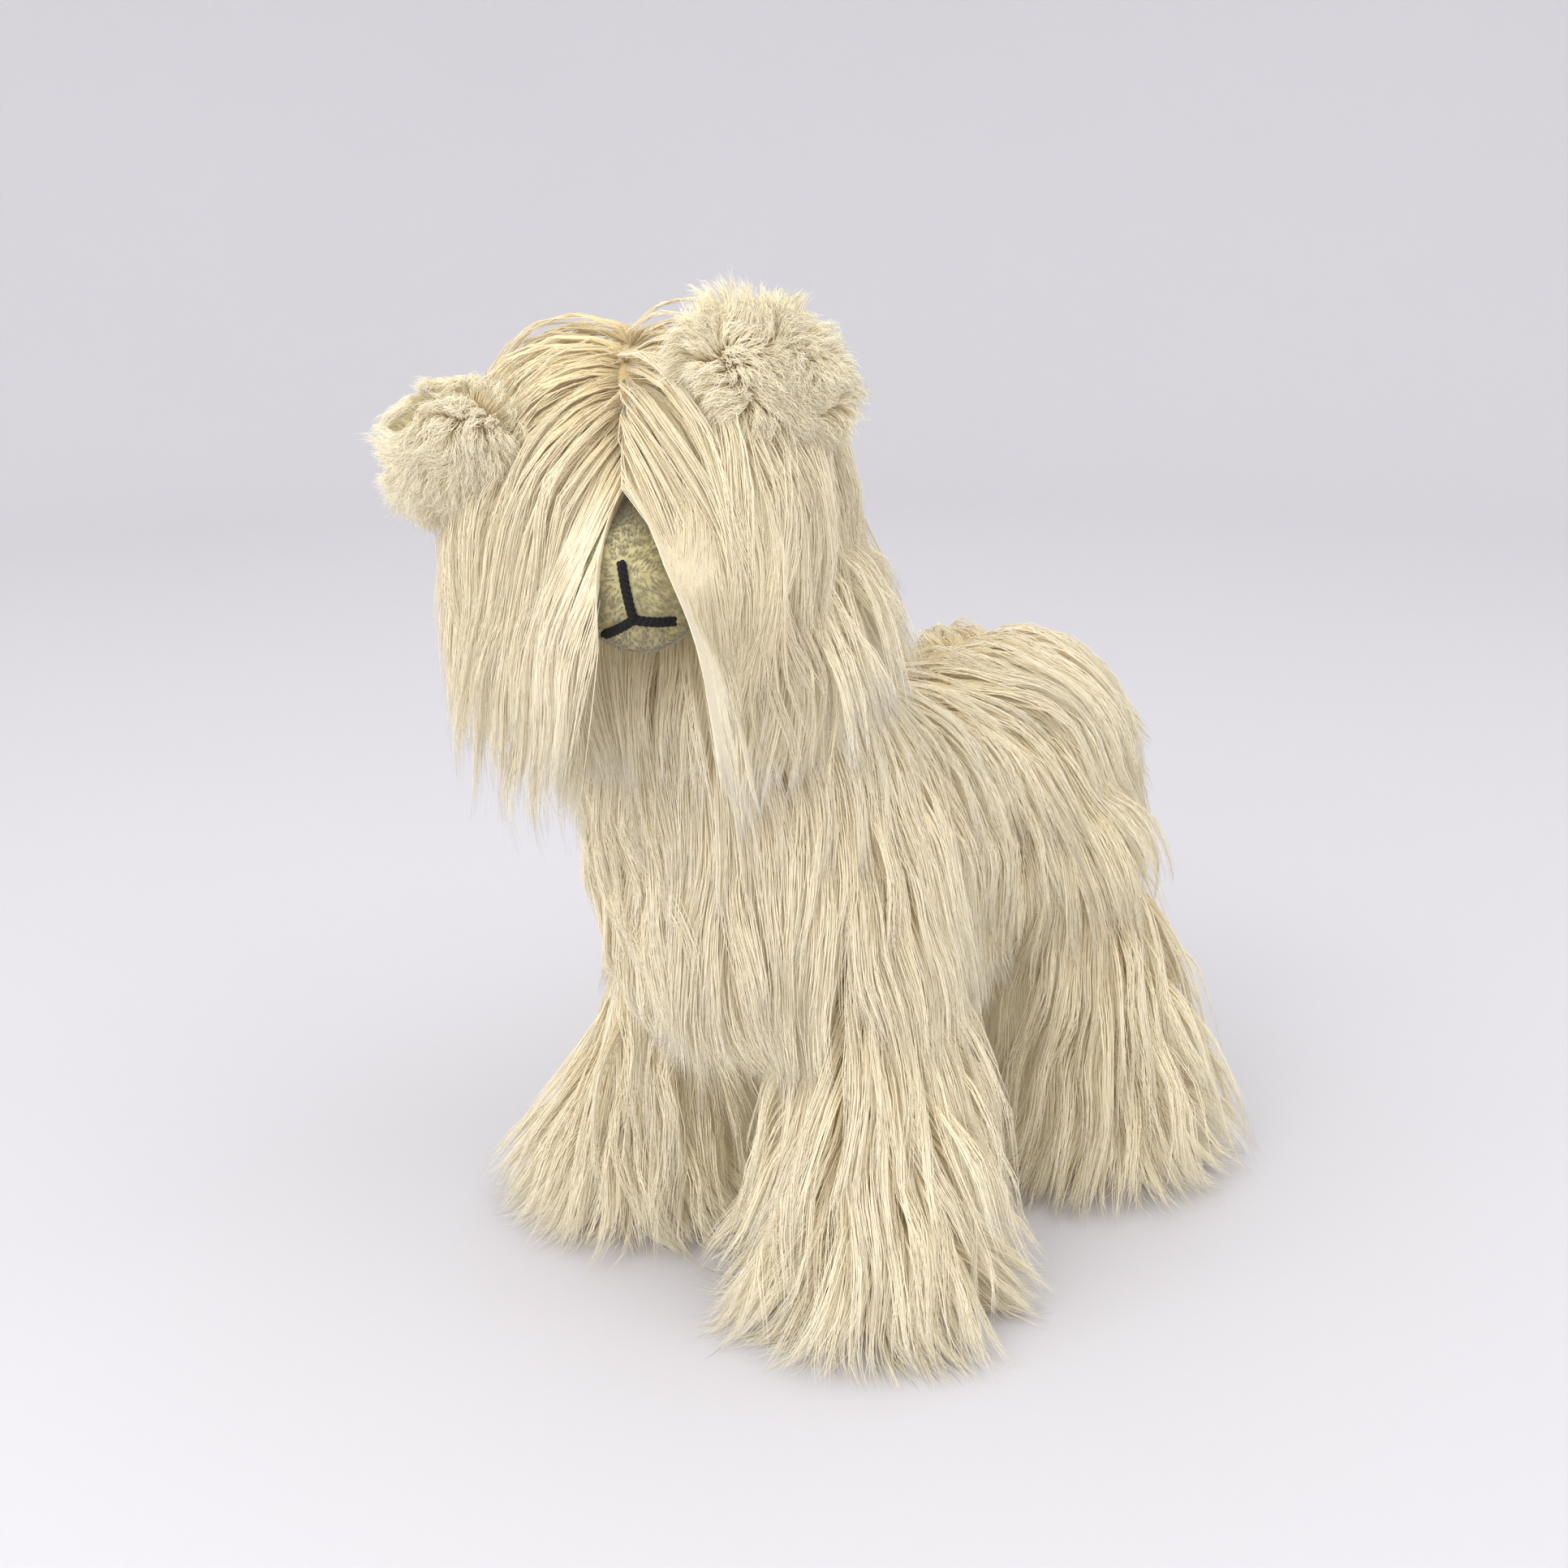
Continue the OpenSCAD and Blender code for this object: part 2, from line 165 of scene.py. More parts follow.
def tail_field(p):
    return rod(p, TAIL, TAIL_TIP, TAIL_R, TAIL_TIP_R)


def slope(field, p, e=0.4):
    """The direction in which a field grows, from steps of e each way."""
    g = np.empty_like(p)
    for i in range(3):
        d = np.zeros(3)
        d[i] = e
        g[:, i] = field(p + d) - field(p - d)
    return unit(g)


# ---- materials ----


def srgb(*rgb):
    """A screen colour as linear light, with alpha."""
    linear = [((c / 255 + 0.055) / 1.055) ** 2.4 if c > 10 else c / 255 / 12.92 for c in rgb]
    return tuple(linear) + (1.0,)


def material(name):
    m = bpy.data.materials.new(name)
    m.use_nodes = True
    nt = m.node_tree
    bsdf = nt.nodes["Principled BSDF"]
    return m, nt, bsdf


def noise(nt, scale, detail=3.0):
    tc = nt.nodes.new("ShaderNodeTexCoord")
    n = nt.nodes.new("ShaderNodeTexNoise")
    n.inputs["Scale"].default_value = scale
    n.inputs["Detail"].default_value = detail
    n.inputs["Roughness"].default_value = 0.55
    nt.links.new(tc.outputs["Object"], n.inputs["Vector"])
    return n


def ramp(nt, fac, stops):
    r = nt.nodes.new("ShaderNodeValToRGB")
    el = r.color_ramp.elements
    while len(el) < len(stops):
        el.new(0.5)
    for e, (pos, col) in zip(el, stops):
        e.position, e.color = pos, col
    nt.links.new(fac, r.inputs["Fac"])
    return r


def multiply(nt, a, b):
    m = nt.nodes.new("ShaderNodeMix")
    m.data_type, m.blend_type = "RGBA", "MULTIPLY"
    m.inputs[0].default_value = 1.0
    nt.links.new(a, m.inputs[6])
    nt.links.new(b, m.inputs[7])
    return m.outputs[2]


# a little light of its own stands for what scatters between the fine fibres of a lock
GLOW, GLOW_COLOUR = 0.065, (0.96, 0.86, 0.63, 1.0)


def hair_material(name, root, mid, tip, rough=0.75, spread=0.12):
    """Root to tip colour with its own shade for each strand and each lock."""
    m, nt, bsdf = material(name)
    along = nt.nodes.new("ShaderNodeAttribute")
    along.attribute_name = "along"
    strand = nt.nodes.new("ShaderNodeAttribute")
    strand.attribute_name = "shade"
    base = ramp(nt, along.outputs["Fac"], [(0.0, root), (0.35, mid), (1.0, tip)])
    low = (1 - spread, 1 - 1.15 * spread, 1 - 1.5 * spread, 1)
    high = (1 + spread * 0.4, 1 + spread * 0.4, 1 + spread * 0.4, 1)
    shades = ramp(nt, strand.outputs["Fac"], [(0.0, low), (1.0, high)])
    col = multiply(nt, base.outputs["Color"], shades.outputs["Color"])
    nt.links.new(col, bsdf.inputs["Base Color"])
    bsdf.inputs["Roughness"].default_value = rough
    bsdf.inputs["Specular IOR Level"].default_value = 0.1
    bsdf.inputs["Sheen Weight"].default_value = 0.6
    bsdf.inputs["Sheen Roughness"].default_value = 0.5
    bsdf.inputs["Emission Color"].default_value = GLOW_COLOUR
    bsdf.inputs["Emission Strength"].default_value = GLOW
    return m


def cloth_material(name, dark, light, scale, bump=0.3, rough=0.95, sheen=0.3):
    """Two shades in fine spots, with a matching bump. A scale of 900 gives spots of about 1 mm."""
    m, nt, bsdf = material(name)
    n = noise(nt, scale, 4.0)
    col = ramp(nt, n.outputs["Fac"], [(0.3, dark), (0.7, light)])
    nt.links.new(col.outputs["Color"], bsdf.inputs["Base Color"])
    b = nt.nodes.new("ShaderNodeBump")
    b.inputs["Strength"].default_value = bump
    b.inputs["Distance"].default_value = 0.0008
    nt.links.new(n.outputs["Fac"], b.inputs["Height"])
    nt.links.new(b.outputs["Normal"], bsdf.inputs["Normal"])
    bsdf.inputs["Roughness"].default_value = rough
    bsdf.inputs["Sheen Weight"].default_value = sheen
    return m


CREAM = hair_material("coat_hair", srgb(236, 214, 162), srgb(248, 236, 204), srgb(253, 246, 222))
FRINGE = hair_material("fringe_hair", srgb(230, 210, 160), srgb(240, 227, 194), srgb(247, 238, 211))
# the ear hair and its lining are a little lighter than the coat's hair: painted light that makes up for the shade
# the ears' curly tufts cast on themselves
LIGHTENED_EAR_HAIR = hair_material("ear_hair_lightened", srgb(244, 222, 168), srgb(252, 240, 202), srgb(255, 248, 220))
LIGHTENED_LINING_HAIR = hair_material("ear_lining_hair", srgb(238, 218, 172), srgb(250, 239, 206), srgb(255, 248, 224))
NAP = hair_material("muzzle_nap", srgb(112, 104, 66), srgb(124, 117, 80), srgb(136, 129, 92), 0.8, 0.12)
# the backing cloth is a darker, warmer beige than the hair: partly its own colour, partly painted shade for the
# gaps between locks and at the parting
SHADED_BACKING = cloth_material("backing_cloth_painted_shade", srgb(186, 162, 112), srgb(206, 184, 136), 900)
MUZZLE_CLOTH = cloth_material("muzzle_cloth", srgb(160, 150, 104), srgb(196, 186, 140), 700)
SOLE_CLOTH = cloth_material("sole_cloth", srgb(176, 152, 104), srgb(204, 182, 136), 600)
THREAD = cloth_material("embroidery_thread", srgb(4, 4, 4), srgb(12, 11, 12), 2500, 0.5, 0.9, 0.0)
FILL = cloth_material("fibre_fill", srgb(216, 214, 208), srgb(246, 245, 240), 300, 0.6)
BOARD = cloth_material("fibreboard", srgb(112, 80, 50), srgb(150, 112, 74), 500, 0.2, 0.8, 0.0)


def steel_material():
    m, nt, bsdf = material("steel")
    n = noise(nt, 400, 2.0)
    col = ramp(nt, n.outputs["Fac"], [(0.3, srgb(176, 178, 180)), (0.7, srgb(206, 208, 210))])
    nt.links.new(col.outputs["Color"], bsdf.inputs["Base Color"])
    bsdf.inputs["Metallic"].default_value = 1.0
    bsdf.inputs["Roughness"].default_value = 0.35
    return m


def plastic_material(name, dark, light, rough):
    m, nt, bsdf = material(name)
    n = noise(nt, 150, 2.0)
    col = ramp(nt, n.outputs["Fac"], [(0.3, dark), (0.7, light)])
    nt.links.new(col.outputs["Color"], bsdf.inputs["Base Color"])
    bsdf.inputs["Roughness"].default_value = rough
    return m


STEEL = steel_material()
EYE = plastic_material("eye_plastic", srgb(14, 9, 6), srgb(26, 16, 10), 0.12)
LOCK = plastic_material("lock_plastic", srgb(222, 222, 216), srgb(236, 236, 230), 0.5)

# ---- meshes ----


def surface(field, lo, hi, h):
    """Closed mesh of the places where field is 0, by surface nets on a grid of spacing h."""
    axes = [np.arange(lo[i] - 2 * h, hi[i] + 3 * h, h) for i in range(3)]
    n = [len(a) for a in axes]
    pts = np.stack(np.meshgrid(*axes, indexing="ij"), axis=-1).reshape(-1, 3)
    g = field(pts).reshape(n)
    c = [m - 1 for m in n]

    def corner(o):
        return g[o[0]:o[0] + c[0], o[1]:o[1] + c[1], o[2]:o[2] + c[2]]

    offs = [(i, j, k) for i in (0, 1) for j in (0, 1) for k in (0, 1)]
    count = sum((corner(o) < 0).astype(int) for o in offs)
    active = (count > 0) & (count < 8)
    index = np.full(c, -1)
    index[active] = np.arange(active.sum())
    pos, hits = np.zeros((active.sum(), 3)), np.zeros(active.sum())
    for a in offs:
        for ax in range(3):
            if a[ax]:
                continue
            b = tuple(v + (i == ax) for i, v in enumerate(a))
            ga, gb = corner(a)[active], corner(b)[active]
            cross = (ga < 0) != (gb < 0)
            t = np.where(cross, ga / np.where(cross, ga - gb, 1), 0)
            q = np.tile(np.array(a, float), (len(t), 1))
            q[:, ax] += t
            pos[cross] += q[cross]
            hits += cross
    verts = (np.argwhere(active) + pos / hits[:, None]) * h + [a[0] for a in axes]
    quads = []
    for ax in range(3):
        u, v = (ax + 1) % 3, (ax + 2) % 3
        inside = g < 0
        a = np.take(inside, range(0, n[ax] - 1), axis=ax)
        b = np.take(inside, range(1, n[ax]), axis=ax)
        for flip, hit in ((False, a & ~b), (True, b & ~a)):
            e = np.argwhere(hit)
            e = e[(e[:, u] > 0) & (e[:, v] > 0) & (e[:, u] < c[u]) & (e[:, v] < c[v])]
            ring = []
            for du, dv in ((1, 1), (0, 1), (0, 0), (1, 0)):
                q = e.copy()
                q[:, u] -= du
                q[:, v] -= dv
                ring.append(index[q[:, 0], q[:, 1], q[:, 2]])
            f = np.stack(ring, axis=1)
            quads.append(f[:, ::-1] if flip else f)
    return verts, np.concatenate(quads)


def ring_faces(count, sides):
    """The side faces of a tube made of count rings of points."""
    faces = []
    for start in range(0, (count - 1) * sides, sides):
        for s in range(sides):
            e = (s + 1) % sides
            faces.append((start + s, start + e, start + sides + e, start + sides + s))
    return faces


def mesh_object(name, verts, faces, mat):
    me = bpy.data.meshes.new(name)
    me.from_pydata([tuple(v) for v in verts / 1000], [], [tuple(int(i) for i in f) for f in faces])
    me.polygons.foreach_set("use_smooth", np.ones(len(me.polygons), bool))
    me.materials.append(mat)
    me.update()
    ob = bpy.data.objects.new(name, me)
    bpy.context.scene.collection.objects.link(ob)
    return ob


def piece(ob, body, slot, *nodes, fill=None):
    """Hides the CAD nodes that a visual piece stands for and hangs it on the body it rides. The material slot is
    not used.
    """
    if nodes:
        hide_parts(*nodes)
    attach(ob, body)
    return ob


def skin(name, field, lo, hi, h, mat=SHADED_BACKING):
    """A closed cloth mesh of a field between two corners, on a grid of spacing h."""
    v, f = surface(field, np.asarray(lo, float), np.asarray(hi, float), h)
    return mesh_object(name, v, f, mat)


# ---- hair ----


class Flow:
    """A smooth random vector field with features about size mm across."""

    def __init__(self, seed, size):
        r = np.random.default_rng(seed)
        self.k = unit(r.normal(size=(8, 3))) * (2 * math.pi / size) * r.uniform(0.6, 1.5, (8, 1))
        self.a = r.normal(size=(8, 3)) / 2
        self.f = r.uniform(0, 2 * math.pi, 8)

    def __call__(self, p):
        return np.sin(p @ self.k.T + self.f) @ self.a


def roots_on(field, prims, n, keep, seed):
    """n points spread evenly over the surface of a union of balls and rods, where keep(p, normal) is true."""
    r = np.random.default_rng(seed)
    areas = [4 * math.pi * q[1] ** 2 if len(q) == 2 else
             math.pi * (q[2] + q[3]) * np.linalg.norm(q[1] - q[0]) for q in prims]
    out_p, out_n, have = [], [], 0
    for _ in range(12):
        pts = []
        for q, area in zip(prims, areas):
            m = int(1.6 * n * area / sum(areas)) + 8
            if len(q) == 2:
                pts.append(q[0] + unit(r.normal(size=(m, 3))) * q[1])
            else:
                a, b, ra, rb = q
                w = unit(b - a)
                s1 = unit(np.cross(w, [0.3, 0.5, 0.8]))
                s2 = np.cross(w, s1)
                t, th = r.uniform(0, 1, m), r.uniform(0, 2 * math.pi, m)
                rad = ra + (rb - ra) * t
                around = np.outer(np.cos(th), s1) + np.outer(np.sin(th), s2)
                pts.append(a + np.outer(t, b - a) + rad[:, None] * around)
        p = np.concatenate(pts)
        p = p[np.abs(field(p)) < 3.5]
        for _ in range(2):
            p = p - slope(field, p) * field(p)[:, None]
        nn = slope(field, p)
        ok = keep(p, nn)
        out_p.append(p[ok])
        out_n.append(nn[ok])
        have += int(ok.sum())
        if have >= n:
            break
    p, nn = np.concatenate(out_p), np.concatenate(out_n)
    pick = r.permutation(len(p))[:n]
    return p[pick], nn[pick]


def grow(root, normal, length, depth, comb, field, floor, segs, lean, wobble, press, profile):
    """Grows one path from each root: it leaves along the skin's normal, turns into comb(p, t), and stays
    at least its own depth above the field's surface. profile(p) scales that depth from place to place,
    press draws hair that stands off an upper side back to it, and no point goes below the floor's z."""
    p, d = root.copy(), normal.copy()
    path = [p.copy()]
    step = (length / segs)[:, None]
    for k in range(segs):
        t = (k + 1) / segs
        want = comb(p, t, root, normal)
        want = want + wobble(p) * (0.4 + 0.6 * t)
        w = min(1.0, lean + 1.1 * t)
        d = unit(d * (1 - w) + unit(want) * w)
        q = p + d * step
        s = field(q)
        g = slope(field, q)
        rise = depth * (1 - math.exp(-t / 0.12)) * (1 if profile is None else profile(q))
        q = q + g * np.clip(rise - s, 0, None)[:, None]
        if press:
            resting = np.clip(g[:, 2] + 0.7, 0, 1) * (s < rise + 16)
            q = q - g * (np.clip(s - rise, 0, None) * press * resting)[:, None]
        q[:, 2] = np.maximum(q[:, 2], floor)
        d = unit(q - p)
        q = p + d * step
        q[:, 2] = np.maximum(q[:, 2], floor)
        path.append(q.copy())
        p = q
    return np.stack(path, axis=1)


def nearest(points, queries):
    tree = KDTree(len(points))
    for i, p in enumerate(points):
        tree.insert(p, i)
    tree.balance()
    return np.array([tree.find(q)[1] for q in queries])


STRAY = 0.14      # share of the strands that leave their tuft


def locks(root, normal, lock_count, tuft_count, paths_for, r, gather=0.4, tuft_gather=0.6, curl=0.0,
          fuzz=0.8):
    """Strands from roots: each follows the path of a nearby tuft, and tufts draw together into locks at
    their tips. Returns the paths and the number of each strand's lock."""
    n = len(root)
    tuft = r.permutation(n)[:tuft_count]
    lock = tuft[r.permutation(len(tuft))[:lock_count]]
    tp = paths_for(root[tuft], normal[tuft])
    lp = paths_for(root[lock], normal[lock])
    segs = tp.shape[1] - 1
    t = np.linspace(0, 1, segs + 1)
    ease = t ** 1.3
    which = nearest(root[lock], root[tuft])
    to_lock = (gather * r.uniform(0.55, 1.0, len(tuft)))[:, None] * ease[None]
    tp = tp * (1 - to_lock[..., None]) + lp[which] * to_lock[..., None]
    if curl:
        ph = r.uniform(0, 2 * math.pi, (len(tuft), 1))
        turns = r.uniform(1.0, 2.2, (len(tuft), 1))
        side = unit(np.cross(tp[:, -1] - tp[:, 0], normal[tuft]))
        up = normal[tuft]
        amp = curl * r.uniform(0.4, 1.0, (len(tuft), 1)) * np.sqrt(t)[None]
        ang = 2 * math.pi * turns * t[None] + ph
        tp = tp + (amp * (np.sin(ang) - np.sin(ph)))[..., None] * side[:, None] \
            + (0.6 * amp * (np.cos(ang) - np.cos(ph)))[..., None] * up[:, None]
    own = nearest(root[tuft], root)
    off = root - root[tuft][own]
    hold = np.where(r.uniform(0, 1, n) < STRAY, 0.15, tuft_gather * r.uniform(0.75, 1.0, n))
    spread = 1 - hold[:, None] * (t ** 0.9)[None]
    path = tp[own] + off[:, None] * spread[..., None]
    ph = r.uniform(0, 2 * math.pi, (n, 1, 3))
    fr = r.uniform(0.5, 1.6, (n, 1, 3))
    path = path + fuzz * np.sin(2 * math.pi * fr * t[None, :, None] + ph) * (t ** 1.1)[None, :, None]
    cut = r.uniform(0.72, 1.0, n)
    grid = cut[:, None] * segs * t[None]
    i = np.clip(grid.astype(int), 0, segs - 1)
    fpart = (grid - i)[..., None]
    rows = np.arange(n)[:, None]
    path = path[rows, i] * (1 - fpart) + path[rows, i + 1] * fpart
    lock_of = which[own]
    return path, lock_of


LEAST_Z = 0.05       # no hair goes into the floor


def strands(name, path, lock_of, mat, thick, r):
    """One closed, tapering tube for each path."""
    sides = 3
    n, m, _ = path.shape
    t = np.linspace(0, 1, m)
    taper = np.interp(t, [0, 0.15, 0.6, 1], [0.8, 1.0, 0.8, 0.1])
    rad = thick * r.uniform(0.75, 1.2, n)[:, None] * taper[None]
    tan = unit(np.gradient(path, axis=1))
    ref = unit(np.cross(tan[:, m // 2], tan[:, 0] + 0.1 * r.normal(size=(n, 3))))[:, None]
    s1 = unit(ref - tan * (ref * tan).sum(-1, keepdims=True))
    s2 = np.cross(tan, s1)
    ang = 2 * math.pi * np.arange(sides) / sides
    cos, sin = np.cos(ang)[None, None, :, None], np.sin(ang)[None, None, :, None]
    ring = path[:, :-1, None] + rad[:, :-1, None, None] * (cos * s1[:, :-1, None] + sin * s2[:, :-1, None])
    per = sides * (m - 1) + 1
    verts = np.concatenate([ring.reshape(n, -1, 3), path[:, -1:]], axis=1)
    verts[..., 2] = np.maximum(verts[..., 2], LEAST_Z)
    loops, starts, corner_t, corner_u = [], [], [], []
    for k in range(m - 2):
        for s in range(sides):
            e = (s + 1) % sides
            starts.append(len(loops))
            loops += [k * sides + s, k * sides + e, (k + 1) * sides + e, (k + 1) * sides + s]
            corner_t += [k, k, k + 1, k + 1]
            corner_u += [s, s + 1, s + 1, s]
    for s in range(sides):
        starts.append(len(loops))
        loops += [(m - 2) * sides + s, (m - 2) * sides + (s + 1) % sides, per - 1]
        corner_t += [m - 2, m - 2, m - 1]
        corner_u += [s, s + 1, s + 0.5]
    starts.append(len(loops))
    loops += list(range(sides))[::-1]
    corner_t += [0] * sides
    corner_u += list(range(sides))[::-1]
    loops, starts = np.array(loops), np.array(starts)
    per_loops = len(loops)
    all_loops = (loops[None] + (np.arange(n) * per)[:, None]).ravel()
    all_starts = (starts[None] + (np.arange(n) * per_loops)[:, None]).ravel()
    me = bpy.data.meshes.new(name)
    me.vertices.add(n * per)
    me.vertices.foreach_set("co", (verts / 1000).astype(np.float32).ravel())
    me.loops.add(len(all_loops))
    me.loops.foreach_set("vertex_index", all_loops.astype(np.int32))
    me.polygons.add(len(all_starts))
    me.polygons.foreach_set("loop_start", all_starts.astype(np.int32))
    me.polygons.foreach_set("use_smooth", np.ones(len(all_starts), bool))
    me.update(calc_edges=True)
    along = np.concatenate([np.repeat(t[:-1], sides), [1.0]])
    layer = me.attributes.new("along", "FLOAT", "POINT")
    layer.data.foreach_set("value", np.tile(along, n).astype(np.float32))
    tone = np.random.default_rng(len(lock_of)).uniform(0, 1, int(lock_of.max()) + 1)
    shade = np.clip(0.55 * tone[lock_of] + 0.45 * r.uniform(0, 1, n), 0, 1)
    layer = me.attributes.new("shade", "FLOAT", "POINT")
    layer.data.foreach_set("value", np.repeat(shade, per).astype(np.float32))
    # each strand gets its own small cell of the UV square
    cols = int(math.ceil(math.sqrt(n * 2.0)))
    rows = int(math.ceil(n / cols))
    cx, cy = (np.arange(n) % cols) / cols, (np.arange(n) // cols) / rows
    cu = 0.15 + 0.7 * np.array(corner_u) / sides
    cv = 0.1 + 0.8 * np.array(corner_t) / (m - 1)
    uv = np.stack([cx[:, None] + cu[None] / cols, cy[:, None] + cv[None] / rows], axis=-1)
    layer = me.uv_layers.new(name="OFBake")
    layer.data.foreach_set("uv", uv.astype(np.float32).ravel())
    me.materials.append(mat)
    ob = bpy.data.objects.new(name, me)
    bpy.context.scene.collection.objects.link(ob)
    return ob


TUFT_EVERY = 9
MOST_TRIANGLES = 195000


def coat(name, body, slot, node, mat, field, prims, keep, count, comb, length, depth, seed, floor=0.6, segs=7,
         lock_every=60, thick=0.17, avoid=None, lean=0.4, wander=0.16, wave=38, press=0.0, profile=None,
         shape=None, roots=None, **lock_words):
    """The pile of one plush node, in pieces small enough to be exported whole. Roots lie on the union of
    prims, or where roots() puts them. length and depth are numbers, or functions of the roots."""
    r = np.random.default_rng(seed)
    root, normal = roots(count, seed + 1) if roots else roots_on(field, prims, count, keep, seed + 1)
    flow = Flow(seed + 2, wave)
    guide = avoid or field

    def paths(rt, nm):
        ln = length(rt) if callable(length) else length * np.ones(len(rt))
        dp = depth(rt) if callable(depth) else depth * np.ones(len(rt))
        ln = ln * r.uniform(0.8, 1.1, len(rt))
        dp = dp * r.uniform(0.1, 1.0, len(rt))
        return grow(rt, nm, ln, dp, comb, guide, floor, segs, lean, lambda p: wander * flow(p), press,
                    profile)

    lock_count, tuft_count = max(3, len(root) // lock_every), max(6, len(root) // TUFT_EVERY)
    path, lock_of = locks(root, normal, lock_count, tuft_count, paths, r, **lock_words)
    if shape is not None:
        path = shape(path)
    order = np.argsort(root[:, 1])
    triangles = len(order) * ((len(path[0]) - 2) * 6 + 4)
    parts = np.array_split(order, max(1, math.ceil(triangles / MOST_TRIANGLES)))
    for i, pick in enumerate(parts):
        label = name if len(parts) == 1 else "%s_%d" % (name, i + 1)
        piece(strands(label, path[pick], lock_of[pick], mat, thick, r), body, slot, node)


# ---- skins ----

SEAM = 1.2              # how far two skins lap over the line where they are sewn together
CLOTH = 0.8             # how far the backing cloth's face lies outside its core
NECK_GAP = 0.6          # from the swivel's plane to the cloth on each side
ROOM_R, ROOM_LOW_R, ROOM_LONG = 27.4, 34.0, 46
GUSSET_HALF, GUSSET_TOP = 13.0, 90.0
TORSO_GRID, HEAD_GRID, LEG_GRID, FINE_GRID = 2.5, 1.8, 2.0, 1.2
LO, HI = np.array([-60, -95, 50.0]), np.array([60, 100, 185.0])
LEG_LO, LEG_HI = np.array([-32, -26, -86]), np.array([32, 26, 20])
LEG_MIDDLE = 0.85       # where a leg's two panels meet, as a share of the hip's x
SOLE_TOP = 2.5


def above_swivel(p):
    return (p - NECK) @ NECK_UP


def leg_rooms(p):
    """The room that the legs swing in, kept clear of the torso's cloth."""
    balls = [ball(p, HIPS[leg], ROOM_R) for leg in LEGS]
    rods = [rod(p, HIPS[leg], HIPS[leg] + ROOM_LONG * DOWN, ROOM_R, ROOM_LOW_R) for leg in LEGS]
    return np.min(balls + rods, axis=0)


def in_gusset(p):
    return np.maximum(np.abs(p[:, 0]) - GUSSET_HALF, p[:, 2] - GUSSET_TOP)


def side_skin(p, side):
    d = torso_field(p) - CLOTH
    d = np.maximum(d, -leg_rooms(p))
    d = np.maximum(d, above_swivel(p) + NECK_GAP)
    d = np.maximum(d, -SEAM - side * p[:, 0])
    return np.maximum(d, -SEAM - in_gusset(p))


def gusset_skin(p):
    return np.maximum.reduce([torso_field(p) - CLOTH, -leg_rooms(p), in_gusset(p) + 0.1])


def head_skin(p, side):
    d = np.maximum(head_field(p) - CLOTH, -above_swivel(p) + NECK_GAP)
    d = np.maximum(d, -SEAM - side * to_head(p)[:, 0])
    return np.maximum(d, -(muzzle_field(p) - 0.2))


def leg_middle(p, leg):
    return p[:, 0] - HIPS[leg][0] * LEG_MIDDLE


def leg_skin(p, leg, side):
    d = np.maximum(leg_field(p, leg) - CLOTH, SOLE_TOP - p[:, 2])
    return np.maximum(d, -SEAM - side * leg_middle(p, leg))


def leg_fill(p, leg):
    return np.maximum(leg_field(p, leg) + 0.6, SOLE_TOP + 0.7 - p[:, 2])


for word, side in SIDES.items():
    ob = skin("side_panel_%s_cloth" % word, lambda p: side_skin(p, side), LO, HI, TORSO_GRID)
    piece(ob, "torso", "coat", "side_panel_" + word, fill=0.85)
ob = skin("belly_gusset_cloth", gusset_skin, LO, HI, TORSO_GRID)
piece(ob, "torso", "belly", "belly_gusset", fill=0.85)

for word, side in SIDES.items():
    ob = skin("head_panel_%s_cloth" % word, lambda p: head_skin(p, side), HEAD - 34, HEAD + 34, HEAD_GRID)
    piece(ob, "head", "coat", "head_panel_" + word, fill=0.9)

for leg in LEGS:
    lo, hi = HIPS[leg] + LEG_LO, HIPS[leg] + LEG_HI
    out = 1 if HIPS[leg][0] > 0 else -1
    for half, side in (("outer", out), ("inner", -out)):
        ob = skin("%s_%s_cloth" % (leg, half), lambda p: leg_skin(p, leg, side), lo, hi, LEG_GRID)
        piece(ob, leg, "coat", "%s_%s" % (leg, half), fill=0.85)
    ob = skin(leg + "_fill", lambda p: leg_fill(p, leg), lo, hi, LEG_GRID, FILL)
    piece(ob, leg, "stuffing", leg + "_stuffing", fill=0.8)

ob = skin("tail_cloth", lambda p: tail_field(p) - 0.3, TAIL - [10, 10, 44], TAIL + [10, 26, 10], FINE_GRID)
piece(ob, "tail", "coat", "tail_plush", fill=0.8)


def muzzle_skin(p):
    return np.maximum(muzzle_field(p), -(head_field(p) - 1.2))


ob = skin("muzzle_cloth", muzzle_skin, MUZZLE - 34, MUZZLE + 34, FINE_GRID, MUZZLE_CLOTH)
piece(ob, "head", "muzzle", "muzzle_cover", fill=0.8)

# ---- the coat ----


PART = Flow(5, 30)
RAGGED = Flow(6, 4)
PART_LAP = 2.5


def parted(x, p, side, wavy, ragged):
    """True on one side of a slightly wavy and ragged parting, and on a narrow strip beyond it."""
    return side * (x + wavy * PART(p)[:, 0] + ragged * RAGGED(p)[:, 1]) > -PART_LAP


def torso_and_legs(p):
    return smin(torso_field(p), legs_field(p) - 4, 6)


TORSO_PRIMS = [(BARREL_A, BARREL_R), (BARREL_A, BARREL_B, BARREL_R, BARREL_R), (BARREL_B, BARREL_R),
               (CHEST, CHEST_R),
               (NECK - NECK_HIGH * NECK_UP, NECK - NECK_LOW * NECK_UP, NECK_R, CHEST_R - 3)]


def on_torso(p):
    return (leg_rooms(p) > -9) & (above_swivel(p) < -1)


def torso_length(root):
    return np.clip(root[:, 2] - np.interp(root[:, 1], [-60, 0], [57, 50]), 20, 56)


def torso_profile(p):
    """Low on the right flank the coat lies flat, and low on the left one it stands out."""
    on_right = np.interp(p[:, 2], [75, 125], [0.15, 1.0])
    on_left = np.interp(p[:, 2], [66, 96], [1.35, 1.0])
    return np.where(p[:, 0] < 0, on_right, on_left)


def on_side(p, side):
    return on_torso(p) & parted(p[:, 0], p, side, 3, 3.5) & (in_gusset(p) > 0)


